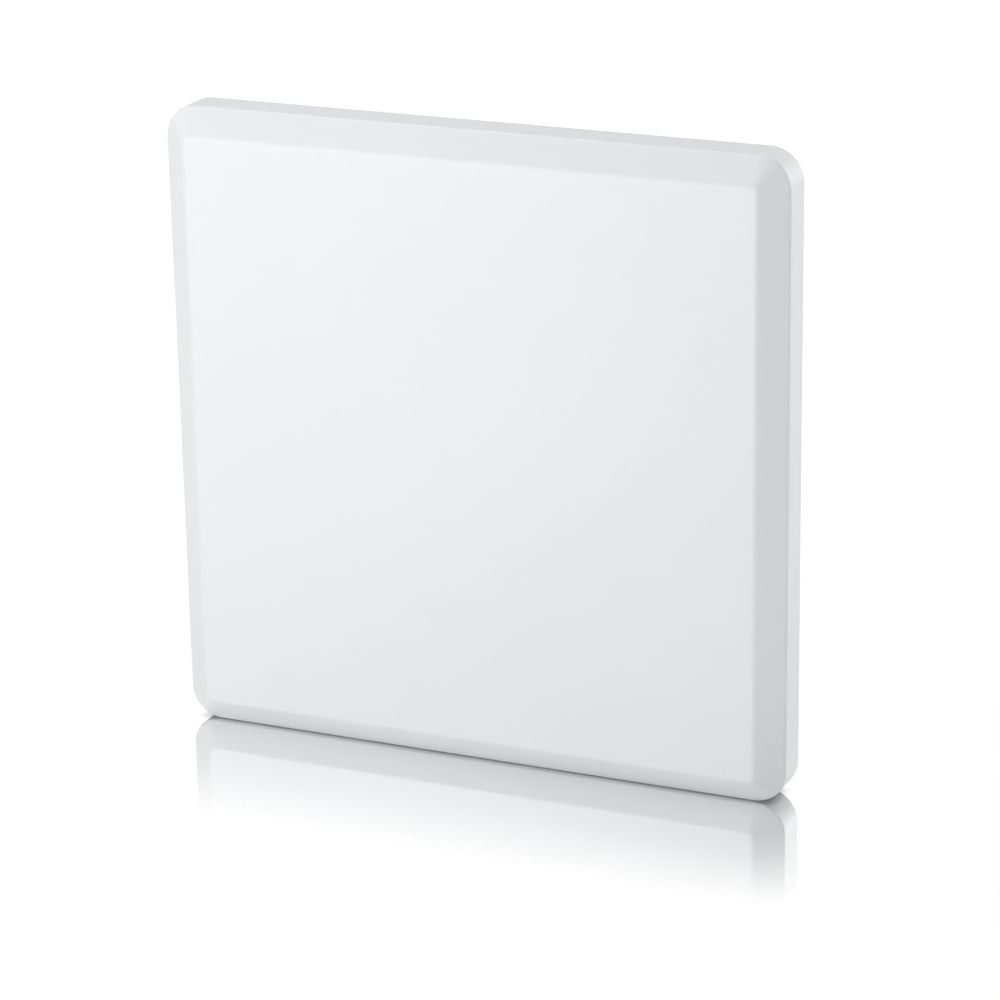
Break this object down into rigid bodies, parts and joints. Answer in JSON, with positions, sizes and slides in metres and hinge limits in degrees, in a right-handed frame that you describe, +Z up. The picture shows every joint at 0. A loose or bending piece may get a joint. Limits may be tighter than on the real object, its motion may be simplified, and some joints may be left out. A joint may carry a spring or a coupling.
{
  "type": "ceiling access point",
  "caption": "Square flat-panel wireless access point: bevelled white cover over a shallow rear tub that slides onto a pressed keyhole mounting plate, with a sprung detent and a cable recess.",
  "frame": {"origin": "centre of the mounting plate's rear face, where it lies on the ceiling or wall", "axes": "+Z up with the panel stood on its lower edge, +Y out of the mounting plate's back into the ceiling or wall, so the front face looks along -Y; +X to the right seen from the front"},
  "size_m": [0.22, 0.035, 0.22],
  "materials": {
    "plate_aluminium": "satin sheet",
    "white_cover": "fine texture",
    "white_housing": "fine texture",
    "zinc_steel": "zinc plated",
    "spring_steel": "drawn wire",
    "white_acetal": "moulded",
    "black_plastic": "moulded",
    "board_laminate": "solder mask",
    "sink_aluminium": "extruded",
    "tinned_steel": "tinned",
    "thermal_pad": "soft",
    "gold_contacts": "gold flash",
    "ferrite": "sintered",
    "capacitor_sleeve": "shrink sleeve",
    "clear_acrylic": "polished",
    "blank_label": "printed film, left blank"
  },
  "bodies": {
    "bracket": {"mounting_plate": "plate_aluminium"},
    "unit": {"front_cover": "white_cover", "rear_housing": "white_housing", "case_screw_1": "zinc_steel", "case_screw_2": "zinc_steel", "case_screw_3": "zinc_steel", "case_screw_4": "zinc_steel", "mount_stud_1": "zinc_steel", "mount_stud_2": "zinc_steel", "mount_stud_3": "zinc_steel", "mount_stud_4": "zinc_steel", "rating_label": "blank_label", "detent_spring": "spring_steel", "detent_retainer": "white_acetal", "retainer_screw_1": "zinc_steel", "retainer_screw_2": "zinc_steel", "reset_switch": "black_plastic", "main_board": "board_laminate", "board_screw_1": "zinc_steel", "board_screw_2": "zinc_steel", "board_screw_3": "zinc_steel", "board_screw_4": "zinc_steel", "heat_sink": "sink_aluminium", "heat_sink_screw_1": "zinc_steel", "heat_sink_screw_2": "zinc_steel", "heat_sink_screw_3": "zinc_steel", "heat_sink_screw_4": "zinc_steel", "cpu_chip": "black_plastic", "cpu_shield": "tinned_steel", "cpu_thermal_pad": "thermal_pad", "radio_2g_chip": "black_plastic", "radio_2g_shield": "tinned_steel", "radio_2g_thermal_pad": "thermal_pad", "radio_5g_chip": "black_plastic", "radio_5g_shield": "tinned_steel", "radio_5g_thermal_pad": "thermal_pad", "antenna_2g_left": "tinned_steel", "antenna_2g_right": "tinned_steel", "antenna_5g_left": "tinned_steel", "antenna_5g_right": "tinned_steel", "ethernet_jack_shell": "tinned_steel", "ethernet_jack_insert": "black_plastic", "ethernet_contacts": "gold_contacts", "power_jack": "black_plastic", "power_jack_pin": "zinc_steel", "poe_transformer": "ferrite", "network_transformer": "black_plastic", "bulk_capacitor_1": "capacitor_sleeve", "bulk_capacitor_2": "capacitor_sleeve", "power_inductor": "ferrite", "status_led": "white_acetal", "light_pipe": "clear_acrylic"},
    "detent": {"detent_slider": "white_acetal"},
    "reset": {"reset_plunger": "white_acetal"}
  },
  "joints": [
    {"name": "unit_slide", "type": "slide", "parent": "bracket", "child": "unit", "axis": [0, 0, 1], "range_m": [0, 0.012]},
    {"name": "detent_slide", "type": "slide", "parent": "unit", "child": "detent", "axis": [1, 0, 0], "range_m": [0, 0.003], "stiffness_N_per_m": 900, "springref_m": -0.0035, "deforming": ["detent_spring"]},
    {"name": "reset_press", "type": "slide", "parent": "unit", "child": "reset", "axis": [0, 0, 1], "range_m": [0, 0.0008], "stiffness_N_per_m": 500, "springref_m": -0.001}
  ],
  "couplings": [
    {"joint": "detent_slide", "follows": "unit_slide", "ratio": 0.25}
  ]
}
